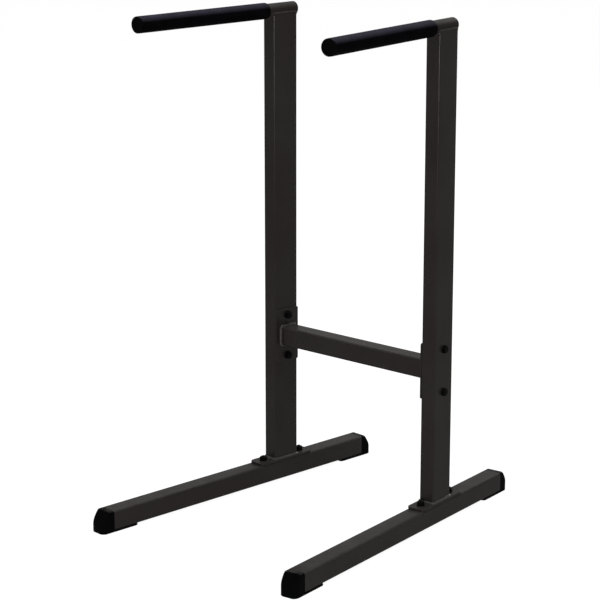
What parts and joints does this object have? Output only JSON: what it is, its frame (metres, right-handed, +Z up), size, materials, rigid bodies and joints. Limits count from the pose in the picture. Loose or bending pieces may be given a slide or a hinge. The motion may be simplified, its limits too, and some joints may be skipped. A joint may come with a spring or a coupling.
{
  "type": "dip station",
  "caption": "Free-standing dip station: splayed side frames, each with a square base tube, a tall upright and a sleeved handle, bolted together by a crossbar.",
  "frame": {"origin": "on the floor, below the middle of the station's outline", "axes": "+Z up, -Y towards the free ends of the handles, +X from the left side frame to the right one"},
  "size_m": [0.6808, 0.942, 1.2728],
  "materials": {
    "powder_coat": "charcoal powder coat, satin with a fine grain",
    "black_plastic": "moulded black plastic, matt",
    "grip_foam": "dense black foam, matt with a faint sheen",
    "black_fasteners": "black-coated steel, satin"
  },
  "bodies": {
    "root": {"base_tube_left": "powder_coat", "foot_plate_left": "powder_coat", "upright_left": "powder_coat", "handle_tube_left": "powder_coat", "crossbar_end_plate_left": "powder_coat", "base_tube_right": "powder_coat", "foot_plate_right": "powder_coat", "upright_right": "powder_coat", "handle_tube_right": "powder_coat", "crossbar_end_plate_right": "powder_coat", "crossbar": "powder_coat", "foot_cap_front_left": "black_plastic", "foot_cap_rear_left": "black_plastic", "grip_end_plug_left": "black_plastic", "handle_rear_plug_left": "black_plastic", "foot_cap_front_right": "black_plastic", "foot_cap_rear_right": "black_plastic", "grip_end_plug_right": "black_plastic", "handle_rear_plug_right": "black_plastic", "grip_left": "grip_foam", "grip_right": "grip_foam", "base_bolt_front_left": "black_fasteners", "base_washer_front_left": "black_fasteners", "base_nut_front_left": "black_fasteners", "base_bolt_rear_left": "black_fasteners", "base_washer_rear_left": "black_fasteners", "base_nut_rear_left": "black_fasteners", "crossbar_head_washer_upper_left": "black_fasteners", "crossbar_bolt_upper_left": "black_fasteners", "crossbar_nut_washer_upper_left": "black_fasteners", "crossbar_nut_upper_left": "black_fasteners", "crossbar_head_washer_lower_left": "black_fasteners", "crossbar_bolt_lower_left": "black_fasteners", "crossbar_nut_washer_lower_left": "black_fasteners", "crossbar_nut_lower_left": "black_fasteners", "base_bolt_front_right": "black_fasteners", "base_washer_front_right": "black_fasteners", "base_nut_front_right": "black_fasteners", "base_bolt_rear_right": "black_fasteners", "base_washer_rear_right": "black_fasteners", "base_nut_rear_right": "black_fasteners", "crossbar_head_washer_upper_right": "black_fasteners", "crossbar_bolt_upper_right": "black_fasteners", "crossbar_nut_washer_upper_right": "black_fasteners", "crossbar_nut_upper_right": "black_fasteners", "crossbar_head_washer_lower_right": "black_fasteners", "crossbar_bolt_lower_right": "black_fasteners", "crossbar_nut_washer_lower_right": "black_fasteners", "crossbar_nut_lower_right": "black_fasteners"}
  },
  "joints": []
}
